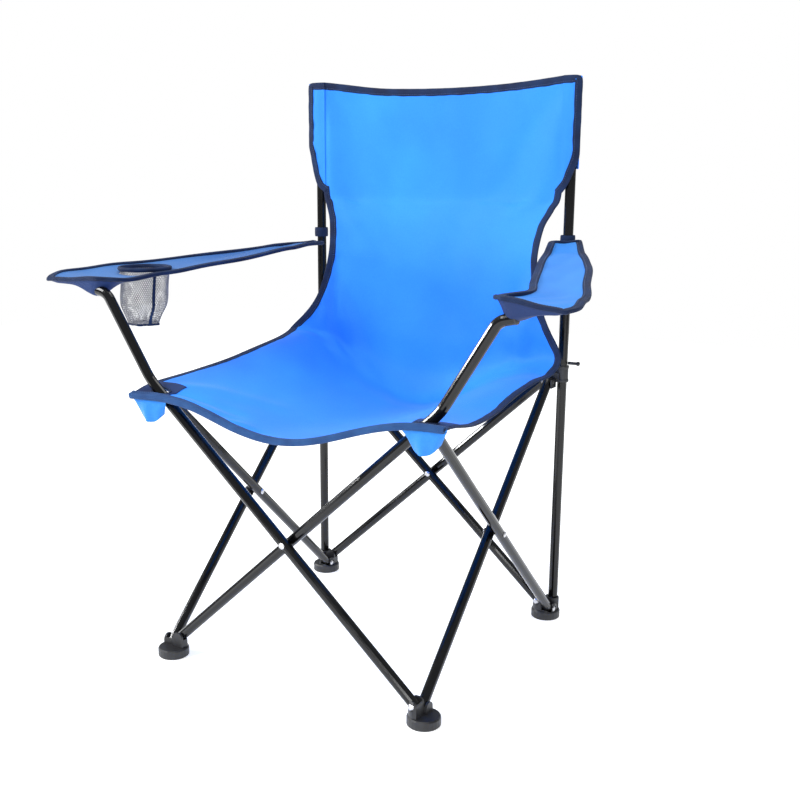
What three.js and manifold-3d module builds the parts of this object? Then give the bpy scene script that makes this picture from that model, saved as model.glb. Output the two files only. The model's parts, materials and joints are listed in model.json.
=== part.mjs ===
// Folding camp chair: ten steel tubes in four crossed pairs and two uprights, with a cloth sling.
// Millimetres, +Z up. The sitter faces -Y, and "left" and "right" are seen from in front of the chair.
import * as THREE from 'three';
import { mergeVertices } from 'three/addons/utils/BufferGeometryUtils.js';
import Module from 'manifold-3d';

const wasm = await Module();
wasm.setup();

// ---- driving dimensions ----
const HALF = 212;              // from the chair's middle to the centre of each foot, in X and in Y
const MID_Y = -1.3;            // moves the whole chair along Y, so that the origin is at its middle
const TUBE_R = 7.5;            // outside radius of every tube
const TUBE_WALL = 0.8;
const PLANE = 8;               // the tubes of a crossed pair lie this far either side of the foot's centre
const INSET = 10;              // the end rivets lie this far inside the foot's centre
const CROSS_Z = 29;            // height of the lower rivets of the front and rear pairs
const SIDE_Z = 19;             // the same for the side pairs, lower so that they pass under the others
const RISE = 369;              // from a tube's lower rivet to its upper one
const MAX_SLOPE = 84.4;        // a tube's angle when the chair is folded, in degrees

const UPRIGHT_OUT = 8.5;       // the uprights stand this far outside the rear feet's centres
const UPRIGHT_Z = [6, 828];
const SLEEVE_Z = [702, 840];
const SLEEVE_R = [8.7, 10.2];

const ARM_LEAN = 57.9;         // slope of an arm tube above the seat, in degrees
const ARM_TIP_LEAN = 12;
const ARM_BEND_R = 90;
const ARM_TIP_BEND_R = 22;
const ARM_LEAN_TOP_Z = 529;    // height at which the arm tube starts to level out
const ARM_TIP_RUN = 12;

const FOOT_PROFILE = [
  [0, 0], [21.5, 0], [23, 1.5], [23, 12], [21, 15], [21, 35], [19.5, 37], [0, 37],
];
const FOOT_SKIRT = 14;         // up to here a foot is whole, and above it only lobes stand round its tubes
const LOBE_R = 9;              // radius of the lobes about a tube's rivet
const LOBE_HALF = 11.4;        // and their reach along it, past both sides of the slot
const SOCKET_WALL = 4;
const SOCKET_TOP = 33;
const FOOT_FACE = 18;          // the flats under the rivet heads, from the foot's centre
const SOCKET_FLOOR = 5.5;
const SLOT_HALF = 7.85;        // half the width of the slot that a tube's end turns in

const RIVET_R = 2.4;
const RIVET_HOLE_R = 2.8;
const RIVET_HEAD_R = 4.6;
const RIVET_HEAD = 1.7;
const GAP = 0.4;
const BLIND_HOLE = 10.5;       // a foot rivet's hole ends this far inside the tube's middle
const BLIND_SHAFT = 9.6;       // and its shaft ends here
const TOP_SHAFT = 9.9;         // the same for the rivets at the upper corners
const HEAD_LIFT = 0.3;         // a rivet's head stands this clear of its tube

const LUG_Z = [388, 402];      // plate that carries the front or rear tube's upper rivet
const LUG_SIDE_Z = [380, 393]; // plate that carries the side tube's upper rivet
const LUG_PLATE = [-2.1, 0.1];
const LUG_REACH = 18;
const COLLAR_Z = [388, 413];
const COLLAR_R = [7.9, 9.2, 10];

const CLOTH = 3;               // thickness of the plain cloth solids
const CUP = { x: -316, y: -120, along: 0.57, ring: [37.6, 40.2], hole: 40.6, depth: 77, foot: 22, wall: 1.2 };

const DEG = Math.PI / 180;
const SLOPE = Math.atan2(RISE, 2 * (HALF - INSET));
const SIDES = 8;               // segments in half a tube
const X = new THREE.Vector3(1, 0, 0);
const Y = new THREE.Vector3(0, 1, 0);
const Z = new THREE.Vector3(0, 0, 1);

// ---- materials ----
const finish = (color, roughness, metalness) => (
  new THREE.MeshStandardMaterial({ color, roughness, metalness })
);
const blackTube = finish(0x141416, 0.22, 0.5);
const blackPlastic = finish(0x242426, 0.55, 0);
const rivetSteel = finish(0xc4c6c8, 0.3, 1);
const blueCloth = finish(0x1f7cf5, 0.8, 0);
const navyTrim = finish(0x1a2d55, 0.8, 0);
const greyMesh = finish(0x6f7176, 0.85, 0);

// ---- solids ----
function signedVolume(geometry) {
  const p = geometry.attributes.position;
  const [a, b, c] = [new THREE.Vector3(), new THREE.Vector3(), new THREE.Vector3()];
  let sum = 0;
  for (let i = 0; i < geometry.index.count; i += 3) {
    a.fromBufferAttribute(p, geometry.index.getX(i));
    b.fromBufferAttribute(p, geometry.index.getX(i + 1));
    c.fromBufferAttribute(p, geometry.index.getX(i + 2));
    sum += a.dot(b.cross(c));
  }
  return sum;
}

function solid(geometry) {
  geometry.deleteAttribute('normal');
  geometry.deleteAttribute('uv');
  const merged = mergeVertices(geometry, 1e-4);
  const triVerts = Uint32Array.from(merged.index.array);
  if (signedVolume(merged) < 0) {
    for (let i = 0; i < triVerts.length; i += 3) {
      [triVerts[i], triVerts[i + 1]] = [triVerts[i + 1], triVerts[i]];
    }
  }
  const vertProperties = Float32Array.from(merged.attributes.position.array);
  return new wasm.Manifold(new wasm.Mesh({ numProp: 3, vertProperties, triVerts }));
}

function geometryOf(manifold) {
  const mesh = manifold.getMesh();
  const geometry = new THREE.BufferGeometry();
  geometry.setAttribute('position', new THREE.BufferAttribute(mesh.vertProperties, 3));
  geometry.setIndex(new THREE.BufferAttribute(mesh.triVerts, 1));
  geometry.computeVertexNormals();
  return geometry;
}

// A geometry built along +Z, stood at a point with its +Z turned to the given direction.
function stand(geometry, at, direction = Z) {
  const turn = new THREE.Quaternion().setFromUnitVectors(Z, direction.clone().normalize());
  return geometry.applyQuaternion(turn).translate(at.x, at.y, at.z);
}

function rod(from, to, radius, sides = 10) {
  const along = to.clone().sub(from);
  const geometry = new THREE.CylinderGeometry(radius, radius, along.length(), sides);
  geometry.rotateX(Math.PI / 2);
  return solid(stand(geometry, from.clone().add(to).multiplyScalar(0.5), along));
}

function block(low, high) {
  const size = high.clone().sub(low);
  const geometry = new THREE.BoxGeometry(Math.abs(size.x), Math.abs(size.y), Math.abs(size.z));
  const centre = low.clone().add(high).multiplyScalar(0.5);
  return solid(geometry.translate(centre.x, centre.y, centre.z));
}

// A lathe about +Z from (radius, height) pairs.
function turned(profile, at, direction = Z, segments = 24) {
  const points = profile.map(([r, z]) => new THREE.Vector2(r, z));
  return solid(stand(new THREE.LatheGeometry(points, segments).rotateX(Math.PI / 2), at, direction));
}

// A path of straight pieces whose stations are its own points, so that a bend costs few of them.
class Stations extends THREE.Curve {
  constructor(points) {
    super();
    this.points = points;
  }
  getPoint(t, target = new THREE.Vector3()) {
    const at = t * (this.points.length - 1);
    const i = Math.min(Math.floor(at), this.points.length - 2);
    return target.lerpVectors(this.points[i], this.points[i + 1], at - i);
  }
  getUtoTmapping(u) {
    return u;
  }
}

function pipe(points) {
  const wall = new THREE.Shape().absarc(0, 0, TUBE_R, 0, 2 * Math.PI);
  wall.holes.push(new THREE.Path().absarc(0, 0, TUBE_R - TUBE_WALL, 0, 2 * Math.PI));
  const extrudePath = new Stations(points);
  const steps = points.length - 1;
  return solid(new THREE.ExtrudeGeometry(wall, { steps, extrudePath, curveSegments: SIDES }));
}

// Rounds a tube's end about its rivet, so that it can turn in a slot.
function roundEnd(tube, pivot, inward, axis) {
  const reach = 2 * TUBE_R;
  const across = inward.clone().cross(axis).multiplyScalar(reach);
  const outer = pivot.clone().addScaledVector(inward, -reach);
  const outline = [
    pivot.clone().add(across), outer.clone().add(across),
    outer.clone().sub(across), pivot.clone().sub(across),
  ];
  const end = axis.clone().multiplyScalar(reach);
  const points = outline.flatMap((p) => [p.clone().sub(end), p.clone().add(end)]);
  const beyond = wasm.Manifold.hull(points.map((p) => p.toArray()));
  return tube.subtract(beyond.subtract(rod(pivot.clone().sub(end), pivot.clone().add(end), TUBE_R, 14)));
}

function drill(tube, pivot, axis) {
  const reach = axis.clone().multiplyScalar(2 * TUBE_R);
  return tube.subtract(rod(pivot.clone().sub(reach), pivot.clone().add(reach), RIVET_HOLE_R, 8));
}

// A rivet with a domed head at the start; with two heads where both ends show.
function rivet(from, to, heads) {
  const length = from.distanceTo(to);
  const dome = [[0, -RIVET_HEAD], [RIVET_HEAD_R * 0.6, -RIVET_HEAD * 0.8], [RIVET_HEAD_R, 0], [RIVET_R, 0]];
  const blind = [[RIVET_R, length], [0, length]];
  const far = heads === 2 ? dome.map(([r, z]) => [r, length - z]).reverse() : blind;
  return turned([...dome, ...far], from, to.clone().sub(from), 12);
}

// A thin closed sheet over a grid of points, thickened along one direction.
function sheet(pointAt, across, along, normal) {
  const positions = [];
  const index = [];
  const half = normal.clone().multiplyScalar(CLOTH / 2);
  for (const side of [1, -1]) {
    for (let j = 0; j <= along; j += 1) {
      for (let i = 0; i <= across; i += 1) {
        positions.push(...pointAt(i / across, j / along).addScaledVector(half, side).toArray());
      }
    }
  }
  const row = across + 1;
  const layer = row * (along + 1);
  const quad = (a, b, c, d) => index.push(a, b, c, a, c, d);
  for (let j = 0; j < along; j += 1) {
    for (let i = 0; i < across; i += 1) {
      const a = j * row + i;
      quad(a, a + 1, a + row + 1, a + row);
      quad(layer + a + row, layer + a + row + 1, layer + a + 1, layer + a);
    }
  }
  const rim = [];
  for (let i = 0; i < across; i += 1) rim.push(i);
  for (let j = 0; j < along; j += 1) rim.push(j * row + across);
  for (let i = across; i > 0; i -= 1) rim.push(along * row + i);
  for (let j = along; j > 0; j -= 1) rim.push(j * row);
  rim.forEach((a, k) => {
    const b = rim[(k + 1) % rim.length];
    quad(b, a, layer + a, layer + b);
  });
  const geometry = new THREE.BufferGeometry();
  geometry.setAttribute('position', new THREE.Float32BufferAttribute(positions, 3));
  geometry.setIndex(index);
  return solid(geometry);
}

// ---- corners ----
// At each corner u points outward along X and v outward along Y, from the foot's centre.
// cross is the plane of the front or rear tube in v, and side is the plane of the side tube in u.
const CORNERS = {
  front_left: { sx: -1, sy: -1 },
  front_right: { sx: 1, sy: -1 },
  rear_left: { sx: -1, sy: 1 },
  rear_right: { sx: 1, sy: 1 },
};
const LOWER = {
  front_left: { cross: -PLANE, side: PLANE },
  front_right: { cross: PLANE, side: -PLANE },
  rear_left: { cross: PLANE, side: -PLANE },
  rear_right: { cross: -PLANE, side: PLANE },
};
const UPPER = {
  front_left: { cross: PLANE, side: -PLANE },
  front_right: { cross: -PLANE, side: PLANE },
  rear_left: { cross: -PLANE, side: PLANE },
  rear_right: { cross: PLANE, side: -PLANE },
};

const at = ({ sx, sy }, u, v, z) => new THREE.Vector3(sx * (HALF + u), sy * (HALF + v), z);
const crossPivot = (name, planes, z) => at(CORNERS[name], -INSET, planes[name].cross, z);
const sidePivot = (name, planes, z) => at(CORNERS[name], planes[name].side, -INSET, z);

// The space that a tube's end sweeps between the open and the folded chair.
function slot(pivot, inward, axis) {
  const r = TUBE_R + 0.5;
  const low = SLOPE - DEG;
  const high = (MAX_SLOPE + 1) * DEG;
  const outline = new THREE.Shape();
  outline.absarc(0, 0, r, high + Math.PI / 2, low + 1.5 * Math.PI);
  const far = 80;
  outline.lineTo(r * Math.sin(low) + far * Math.cos(low), -r * Math.cos(low) + far * Math.sin(low));
  outline.lineTo(far, far);
  outline.lineTo(-r * Math.sin(high) + far * Math.cos(high), r * Math.cos(high) + far * Math.sin(high));
  const depth = 2 * SLOT_HALF;
  const geometry = new THREE.ExtrudeGeometry(outline, { depth, bevelEnabled: false, curveSegments: 5 });
  geometry.translate(0, 0, -SLOT_HALF);
  const basis = new THREE.Matrix4().makeBasis(inward, Z, axis).setPosition(pivot);
  return solid(geometry.applyMatrix4(basis));
}

const rivetLine = (pivot, outward, from, to) => [
  pivot.clone().addScaledVector(outward, from),
  pivot.clone().addScaledVector(outward, to),
];

// A rounded boss that stands on the foot's skirt about a line.
function boss(from, to, radius) {
  const round = rod(from, to, radius, 20);
  return wasm.Manifold.hull([round, round.translate([0, 0, -FOOT_SKIRT])]);
}

function foot(name) {
  const corner = CORNERS[name];
  const { cross, side } = LOWER[name];
  const alongX = X.clone().multiplyScalar(corner.sx);
  const alongY = Y.clone().multiplyScalar(corner.sy);
  const tubes = [
    [crossPivot(name, LOWER, CROSS_Z), alongX.clone().negate(), alongY, cross],
    [sidePivot(name, LOWER, SIDE_Z), alongY.clone().negate(), alongX, side],
  ];
  const socket = at(corner, UPRIGHT_OUT, UPRIGHT_OUT, 0);
  const room = 2 * FOOT_SKIRT;
  let kept = block(at(corner, -room, -room, 0), at(corner, room, room, FOOT_SKIRT));
  for (const [pivot, , outward] of tubes) {
    kept = kept.add(boss(...rivetLine(pivot, outward, -LOBE_HALF, LOBE_HALF), LOBE_R));
  }
  if (corner.sy > 0) kept = kept.add(rod(socket, socket.clone().setZ(SOCKET_TOP), TUBE_R + SOCKET_WALL, 24));
  let body = turned(FOOT_PROFILE, at(corner, 0, 0, 0)).intersect(kept);
  for (const [pivot, inward, outward, plane] of tubes) {
    const facing = outward.clone().multiplyScalar(Math.sign(plane));
    const sunk = rod(...rivetLine(pivot, facing, FOOT_FACE - PLANE, FOOT_FACE), RIVET_HEAD_R + 1, 16);
    const hole = rod(...rivetLine(pivot, facing, -BLIND_HOLE, FOOT_FACE), RIVET_HOLE_R, 8);
    body = body.subtract(slot(pivot, inward, outward)).subtract(sunk).subtract(hole);
  }
  if (corner.sy > 0) {
    const [floor, open] = [SOCKET_FLOOR, 2 * SOCKET_TOP].map((z) => socket.clone().setZ(z));
    body = body.subtract(rod(floor, open, TUBE_R + GAP, 24));
  }
  return body;
}

function footRivets(name) {
  const corner = CORNERS[name];
  const { cross, side } = LOWER[name];
  const facing = [
    Y.clone().multiplyScalar(corner.sy * Math.sign(cross)),
    X.clone().multiplyScalar(corner.sx * Math.sign(side)),
  ];
  const pivots = [crossPivot(name, LOWER, CROSS_Z), sidePivot(name, LOWER, SIDE_Z)];
  const head = FOOT_FACE - PLANE + 0.1;
  return pivots.map((pivot, i) => rivet(...rivetLine(pivot, facing[i], head, -BLIND_SHAFT), 1));
}

// The bracket at an upper corner: one plate for each tube's rivet, joined at their edge.
function bracket(name, reachOut) {
  const corner = CORNERS[name];
  const { cross, side } = UPPER[name];
  const [plateLow, plateHigh] = LUG_PLATE;
  const across = Math.sign(cross);
  const sideways = Math.sign(side);
  const crossPlate = block(
    at(corner, -LUG_REACH, across * plateLow, LUG_Z[0]),
    at(corner, reachOut, across * plateHigh, LUG_Z[1]),
  );
  const sidePlate = block(
    at(corner, sideways * plateLow, -LUG_REACH, LUG_SIDE_Z[0]),
    at(corner, sideways * plateHigh, 0, LUG_SIDE_Z[1]),
  );
  const body = crossPlate.add(sidePlate);
  const crossHole = crossPivot(name, UPPER, CROSS_Z + RISE);
  const sideHole = sidePivot(name, UPPER, SIDE_Z + RISE);
  return drill(drill(body, crossHole, Y), sideHole, X);
}

function upperRivets(name) {
  const corner = CORNERS[name];
  const { cross, side } = UPPER[name];
  const facing = [
    Y.clone().multiplyScalar(corner.sy * Math.sign(cross)),
    X.clone().multiplyScalar(corner.sx * Math.sign(side)),
  ];
  const pivots = [crossPivot(name, UPPER, CROSS_Z + RISE), sidePivot(name, UPPER, SIDE_Z + RISE)];
  return pivots.map((pivot, i) => rivet(...rivetLine(pivot, facing[i], TUBE_R + HEAD_LIFT, -TOP_SHAFT), 1));
}

// ---- tubes ----
function crossedTube(lower, upper, axis, extra = []) {
  const inward = upper.clone().sub(lower).normalize();
  const start = lower.clone().addScaledVector(inward, -TUBE_R);
  const path = extra.length ? [start, ...extra] : [start, upper.clone().addScaledVector(inward, TUBE_R)];
  let tube = roundEnd(pipe(path), lower, inward, axis);
  if (!extra.length) tube = roundEnd(tube, upper, inward.clone().negate(), axis);
  const middle = lower.clone().add(upper).multiplyScalar(0.5);
  for (const pivot of [lower, middle, upper]) tube = drill(tube, pivot, axis);
  return tube;
}

const pairMiddle = (a, b) => a.clone().add(b).multiplyScalar(0.5);

// The bends of an arm tube above the seat: it steepens, then levels out towards its tip.
function armPath(pivot, sx) {
  const points = [];
  const place = pivot.clone();
  let lean = SLOPE;
  const run = (length) => {
    place.add(new THREE.Vector3(sx * Math.cos(lean) * length, 0, Math.sin(lean) * length));
    points.push(place.clone());
  };
  const bend = (to, radius, steps) => {
    const turn = (to - lean) / steps;
    for (let i = 0; i < steps; i += 1) {
      lean += turn / 2;
      run(2 * radius * Math.sin(Math.abs(turn) / 2));
      lean += turn / 2;
    }
  };
  run(20);
  bend(ARM_LEAN * DEG, ARM_BEND_R, 4);
  run((ARM_LEAN_TOP_Z - place.z) / Math.sin(lean));
  bend(ARM_TIP_LEAN * DEG, ARM_TIP_BEND_R, 6);
  run(ARM_TIP_RUN);
  return points;
}

function plug(end, outward) {
  const inner = TUBE_R - TUBE_WALL - 0.3;
  const profile = [
    [0, -10], [inner, -10], [inner, GAP], [TUBE_R + GAP, GAP], [TUBE_R, 2.4], [5, 3.6], [0, 4],
  ];
  return turned(profile, end, outward, 16);
}

// ---- cloth ----
const mix = (a, b, t) => a + (b - a) * t;
const hump = (t) => 4 * t * (1 - t);
const spread = (a) => 2 * a - 1;
const dip = (x, reach) => Math.cos((Math.PI / 2) * Math.min(1, Math.abs(x) / reach)) ** 2;

const SEAT = {
  frontY: -240, splitAt: 0.5, rearY: 158, rearDeep: 44, frontZ: 410, rearZ: 438, sag: [48, 66, 86],
  frontHalf: 248, rearHalf: 238, pulledIn: 18, middleLow: 16, dipReach: 230,
};

// The seat from its front edge (b = 0) to where it meets the back (b = 1).
function seatPoint(a, b) {
  const s = spread(a);
  const x = s * (mix(SEAT.frontHalf, SEAT.rearHalf, b) - SEAT.pulledIn * hump(b));
  const rear = SEAT.rearY + SEAT.rearDeep * (1 - s * s);
  const edge = mix(SEAT.frontZ, SEAT.rearZ, b) - SEAT.middleLow * hump(b);
  const [front, half, back] = SEAT.sag;
  const sag = mix(front, back, b) + (half - (front + back) / 2) * hump(b);
  return new THREE.Vector3(x, mix(SEAT.frontY, rear, b), edge - sag * dip(x, SEAT.dipReach));
}

// Rows of the back from the seat upward: half width, Y at the edge, how far its middle hangs back, Z, dip.
const BACK_ROWS = [
  [238, 158, 44, 438, 86],
  [196, 178, 34, 510, 30],
  [182, 188, 30, 578, 0],
  [190, 200, 28, 640, 0],
  [206, 213, 26, 705, 0],
  [208, 217, 24, 770, 4],
  [208, 219, 22, 838, 14],
];

function backPoint(a, c) {
  const s = spread(a);
  const rows = BACK_ROWS.map(([half, y, deep, z, drop]) => {
    const x = s * half;
    const lower = drop * (z === SEAT.rearZ ? dip(x, SEAT.dipReach) : 1 - s * s);
    return new THREE.Vector3(x, y + deep * (1 - s * s), z - lower);
  });
  return new THREE.CatmullRomCurve3(rows).getPoint(c);
}

const WAIST = 2 / (BACK_ROWS.length - 1);

// Plan outline of an armrest: for each Y, the inner and the outer edge's distance from the middle.
const ARMREST_ROWS = [
  [206, 211, 236], [222, 110, 274], [236, 10, 318], [256, -75, 360],
  [270, -130, 388], [284, -180, 398], [292, -215, 394], [312, -238, 366],
];
const ARMREST_Z = { rear: 592, slope: 0.083 };
const ARMREST_ROLL = { left: 0.1, right: -0.04 };

function armrestPoint(sx, roll, a, b) {
  const place = b * (ARMREST_ROWS.length - 1);
  const i = Math.min(Math.floor(place), ARMREST_ROWS.length - 2);
  const [row, next] = ARMREST_ROWS.slice(i, i + 2);
  const [inner, y, outer] = row.map((value, k) => mix(value, next[k], place - i));
  const x = mix(inner, outer, a);
  const z = ARMREST_Z.rear - ARMREST_Z.slope * (211 - y) + roll * (x - (inner + outer) / 2);
  return new THREE.Vector3(sx * x, y, z);
}

// The opening in the seat's front corner that an arm tube comes up through.
function armSlot(name) {
  const { cross } = UPPER[name];
  const corner = CORNERS[name];
  const half = TUBE_R + 2.5;
  return block(at(corner, -20, cross - half, 380), at(corner, 24, cross + half, 430));
}

const FLAP = { half: 31, deep: 36, thick: 2, out: 6, y: -232, z: 402 };

// The rounded cloth flap that hangs over a front corner.
function cornerFlap(name) {
  const corner = CORNERS[name];
  const { half, deep, thick: depth } = FLAP;
  const outline = new THREE.Shape().moveTo(-half, 0);
  outline.bezierCurveTo(-half, -0.7 * deep, -half / 2, -deep, 0, -deep);
  outline.bezierCurveTo(half / 2, -deep, half, -0.55 * deep, half, 0);
  const geometry = new THREE.ExtrudeGeometry(outline, { depth, bevelEnabled: false, curveSegments: 6 });
  geometry.rotateX(Math.PI / 2);
  if (corner.sx < 0) geometry.rotateZ(Math.PI).translate(0, -depth, 0);
  return solid(geometry.translate(at(corner, FLAP.out, 0, 0).x, FLAP.y, FLAP.z));
}

// Height of the left armrest beside the cup.
const cupLevel = () => armrestPoint(-1, ARMREST_ROLL.left, 0.5, CUP.along).z;

function cupRing() {
  const [inner, outer] = CUP.ring;
  const profile = [[inner, -3], [outer, -3], [outer, 3], [inner, 3], [inner, -3]];
  return turned(profile, new THREE.Vector3(CUP.x, CUP.y, cupLevel()));
}

function cupMesh() {
  const { depth, foot: base, wall } = CUP;
  const top = CUP.ring[0] + 1.4;
  const belly = base + 9;
  const outer = [[0, -depth], [base, -depth], [belly, -depth / 2], [top, 0]];
  const inner = [[top - wall, 0], [belly - wall, -depth / 2], [base - wall, wall - depth], [0, wall - depth]];
  return turned([...outer, ...inner], new THREE.Vector3(CUP.x, CUP.y, cupLevel() - 3 - GAP));
}

// ---- assembly ----
const chair = new THREE.Group();
chair.position.y = MID_Y;

function add(name, body, material) {
  const mesh = new THREE.Mesh(geometryOf(body), material);
  mesh.name = name;
  chair.add(mesh);
}

for (const name of Object.keys(CORNERS)) {
  add(`foot_${name}`, foot(name), blackPlastic);
  footRivets(name).forEach((body, i) => add(`rivet_foot_${name}_${i ? 'side' : 'cross'}`, body, rivetSteel));
  upperRivets(name).forEach((body, i) => add(`rivet_top_${name}_${i ? 'side' : 'cross'}`, body, rivetSteel));
}

// Each pair: its axis, and for each tube its name, lower corner and upper corner.
const PAIRS = {
  front: [
    Y,
    ['front_tube_left_arm', 'front_right', 'front_left'],
    ['front_tube_right_arm', 'front_left', 'front_right'],
  ],
  rear: [
    Y,
    ['rear_tube_inner', 'rear_right', 'rear_left'],
    ['rear_tube_outer', 'rear_left', 'rear_right'],
  ],
  left: [
    X,
    ['left_side_tube_outer', 'front_left', 'rear_left'],
    ['left_side_tube_inner', 'rear_left', 'front_left'],
  ],
  right: [
    X,
    ['right_side_tube_inner', 'front_right', 'rear_right'],
    ['right_side_tube_outer', 'rear_right', 'front_right'],
  ],
};

for (const [place, [axis, ...tubes]] of Object.entries(PAIRS)) {
  const [pivot, lowZ] = axis === Y ? [crossPivot, CROSS_Z] : [sidePivot, SIDE_Z];
  const middles = [];
  for (const [name, lower, upper] of tubes) {
    const low = pivot(lower, LOWER, lowZ);
    const high = pivot(upper, UPPER, lowZ + RISE);
    const arm = place === 'front' ? armPath(high, CORNERS[upper].sx) : [];
    add(name, crossedTube(low, high, axis, arm), blackTube);
    middles.push(pairMiddle(low, high));
    if (arm.length) {
      const [before, tip] = arm.slice(-2);
      const where = CORNERS[upper].sx < 0 ? 'left' : 'right';
      add(`arm_plug_${where}`, plug(tip, tip.clone().sub(before)), blackPlastic);
    }
  }
  const along = middles[1].clone().sub(middles[0]).normalize().multiplyScalar(TUBE_R + HEAD_LIFT);
  const pin = rivet(middles[0].clone().sub(along), middles[1].clone().add(along), 2);
  add(`rivet_crossing_${place}`, pin, rivetSteel);
}

for (const [side, name] of [['left', 'rear_left'], ['right', 'rear_right']]) {
  const foot = at(CORNERS[name], UPRIGHT_OUT, UPRIGHT_OUT, 0);
  const top = foot.clone().setZ(UPRIGHT_Z[1]);
  add(`upright_${side}`, pipe([foot.clone().setZ(UPRIGHT_Z[0]), top]), blackTube);
  add(`upright_plug_${side}`, plug(top, Z), blackPlastic);

  const [bore, body, flange] = COLLAR_R;
  const [low, high] = COLLAR_Z;
  const collar = [
    [bore, low], [flange, low], [flange, low + 3], [body, low + 5],
    [body, high - 5], [flange, high - 3], [flange, high], [bore, high], [bore, low],
  ];
  const spool = turned(collar, foot).add(bracket(name, UPPER[name].cross > 0 ? 7 : 3));
  const way = rod(foot.clone().setZ(low - 20), foot.clone().setZ(high + 20), bore, 24);
  add(`slider_${side}`, spool.subtract(way), blackPlastic);

  const [inner, outer] = SLEEVE_R;
  const [hem, crown] = SLEEVE_Z;
  const pocket = [
    [0, crown], [outer - 2, crown], [outer, crown - 2], [outer, hem],
    [inner, hem], [inner, crown - 2.5], [0, crown - 2.5],
  ];
  add(`back_sleeve_${side}`, turned(pocket, foot, Z, 20), blueCloth);
}

for (const [side, name] of [['left', 'front_left'], ['right', 'front_right']]) {
  add(`corner_bracket_${side}`, bracket(name, 8), blackPlastic);
  add(`corner_flap_${side}`, cornerFlap(name), blueCloth);
}

// The shares of the seat's and the back's length that each of their pieces covers.
const SEAT_FRONT_SPAN = [0, SEAT.splitAt - 0.0012];
const SEAT_REAR_SPAN = [SEAT.splitAt + 0.0012, 0.985];
const BACK_LOWER_SPAN = [0.012, WAIST - 0.003];
const BACK_UPPER_SPAN = [WAIST + 0.003, 1];

const seatHalf = (span) => sheet((a, b) => seatPoint(a, mix(...span, b)), 12, 5, Z);
const backHalf = (span, rows) => sheet((a, c) => backPoint(a, mix(...span, c)), 12, rows, Y);
const slots = armSlot('front_left').add(armSlot('front_right'));
add('seat_front', seatHalf(SEAT_FRONT_SPAN).subtract(slots), blueCloth);
add('seat_rear', seatHalf(SEAT_REAR_SPAN), blueCloth);
add('back_lower', backHalf(BACK_LOWER_SPAN, 4), blueCloth);
add('back_upper', backHalf(BACK_UPPER_SPAN, 6), blueCloth);

const cupAxis = [500, 620].map((z) => new THREE.Vector3(CUP.x, CUP.y, z));
const cupHole = rod(...cupAxis, CUP.hole, 28);
const armrest = (sx, roll) => sheet((a, b) => armrestPoint(sx, roll, a, b), 2, 7, Z);
add('armrest_left', armrest(-1, ARMREST_ROLL.left).subtract(cupHole), blueCloth);
add('armrest_right', armrest(1, ARMREST_ROLL.right), blueCloth);
add('cup_ring', cupRing(), navyTrim);
add('cup_mesh', cupMesh(), greyMesh);

export default chair;
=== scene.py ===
"""Looks of the folding camp chair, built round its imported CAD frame.

Metres, +Z up, and the sitter faces -Y.
"""
import json
import math

import bpy
import numpy as np
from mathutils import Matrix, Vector


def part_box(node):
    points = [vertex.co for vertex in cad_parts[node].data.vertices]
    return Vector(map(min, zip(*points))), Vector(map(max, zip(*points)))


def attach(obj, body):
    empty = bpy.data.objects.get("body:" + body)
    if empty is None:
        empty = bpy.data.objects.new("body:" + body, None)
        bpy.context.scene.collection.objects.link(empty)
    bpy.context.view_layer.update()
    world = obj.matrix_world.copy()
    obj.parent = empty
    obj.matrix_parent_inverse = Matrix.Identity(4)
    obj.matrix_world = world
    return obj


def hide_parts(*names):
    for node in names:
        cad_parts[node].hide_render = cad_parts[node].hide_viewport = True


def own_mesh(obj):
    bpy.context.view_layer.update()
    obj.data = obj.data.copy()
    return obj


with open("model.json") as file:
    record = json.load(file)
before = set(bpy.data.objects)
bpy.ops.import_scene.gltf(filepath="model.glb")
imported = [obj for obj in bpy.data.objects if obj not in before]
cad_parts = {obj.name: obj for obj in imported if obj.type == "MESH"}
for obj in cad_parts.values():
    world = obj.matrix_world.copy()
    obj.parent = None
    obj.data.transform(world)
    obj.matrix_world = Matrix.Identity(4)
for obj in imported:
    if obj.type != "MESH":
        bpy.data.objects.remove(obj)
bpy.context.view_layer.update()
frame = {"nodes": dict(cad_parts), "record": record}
NODES = frame["nodes"]
SIDES = (("left", -1), ("right", 1))


# ---- places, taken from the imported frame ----
def middle(node):
    low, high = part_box(node)
    return (Vector(low) + Vector(high)) / 2


POST = {side: middle(f"upright_{side}") for side, _ in SIDES}
SLEEVE_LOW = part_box("back_sleeve_left")[0][2]
SLEEVE_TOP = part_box("back_sleeve_left")[1][2]
CUP = middle("cup_ring")
SHIFT_Y = CUP.y + 0.120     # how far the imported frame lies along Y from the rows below
CUP_R = (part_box("cup_ring")[1][0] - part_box("cup_ring")[0][0]) / 2
CUP_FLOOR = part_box("cup_mesh")[0][2]

CLOTH = 0.0014          # thickness of the coated cloth
THIN_CLOTH = 0.0012     # of its patches and pockets
WEAVE_PITCH = 0.0011    # from one thread to the next
TAPE_WIDE = 0.0095      # binding tape, from the cloth's edge inward
TAPE_THICK = 0.0030
TAPE_GIRTH = 0.01       # round a tape's cross-section, on its texture
STITCH = 0.0034         # from one stitch to the next
TAPE_STEP = 0.004       # from one cross-section of a tape to the next
SHARP = 35              # degrees between two faces from which their edge is drawn sharp
UP = np.array([0.0, 0.0, 1.0])


# ---- small helpers ----
def smoothstep(low, high, x):
    t = np.clip((x - low) / (high - low), 0, 1)
    return t * t * (3 - 2 * t)


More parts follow.
